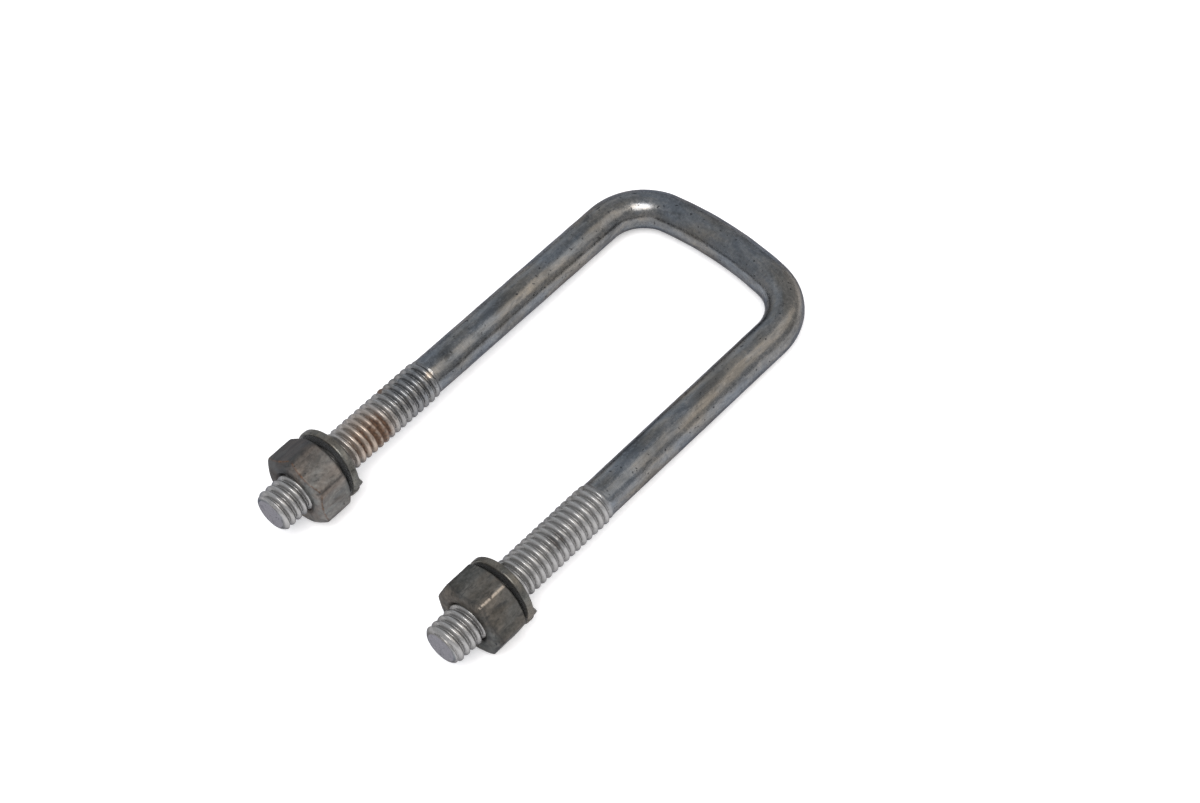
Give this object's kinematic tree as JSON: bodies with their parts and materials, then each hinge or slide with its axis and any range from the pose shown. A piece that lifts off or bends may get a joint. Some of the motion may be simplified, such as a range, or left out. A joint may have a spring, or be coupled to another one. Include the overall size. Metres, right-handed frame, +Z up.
{
  "type": "square u-bolt",
  "caption": "Square-bend U-bolt of round galvanised bar with threaded legs, each with a hexagon nut and a split spring washer.",
  "frame": {"origin": "middle of the underside of the whole object as it lies on its side", "axes": "+Y along the legs from the threaded tips to the crown, +X from the left leg to the right leg, +Z up, square to the plane of the U"},
  "size_m": [0.0552, 0.0984, 0.0149],
  "materials": {
    "galvanised_bar": "hot-dip galvanised, mottled satin grey with small pits, a rust-stained stretch of thread",
    "nut_steel": "dull dark galvanised, slightly olive, worn corners",
    "washer_steel": "dull grey-green galvanised, darker on the nut side"
  },
  "bodies": {
    "u_bolt": {"u_bolt": "galvanised_bar"},
    "left_washer": {"left_spring_washer": "washer_steel"},
    "left_nut": {"left_nut": "nut_steel"},
    "right_washer": {"right_spring_washer": "washer_steel"},
    "right_nut": {"right_nut": "nut_steel"}
  },
  "joints": [
    {"name": "left_washer_travel", "type": "slide", "parent": "u_bolt", "child": "left_washer", "axis": [0, 1, 0], "range_m": [-0.0088, 0.024]},
    {"name": "left_nut_turn", "type": "hinge", "parent": "left_washer", "child": "left_nut", "pos_m": [-0.02075, -0.03881, 0.00745], "axis": [0, 1, 0], "range_deg": [-2232, 6120]},
    {"name": "right_washer_travel", "type": "slide", "parent": "u_bolt", "child": "right_washer", "axis": [0, 1, 0], "range_m": [-0.0094, 0.0233]},
    {"name": "right_nut_turn", "type": "hinge", "parent": "right_washer", "child": "right_nut", "pos_m": [0.02015, -0.03946, 0.00745], "axis": [0, 1, 0], "range_deg": [-2376, 5940]}
  ],
  "couplings": [
    {"joint": "left_washer_travel", "follows": "left_nut_turn", "m_per_rad": 0.00022458},
    {"joint": "right_washer_travel", "follows": "right_nut_turn", "m_per_rad": 0.00022458}
  ]
}
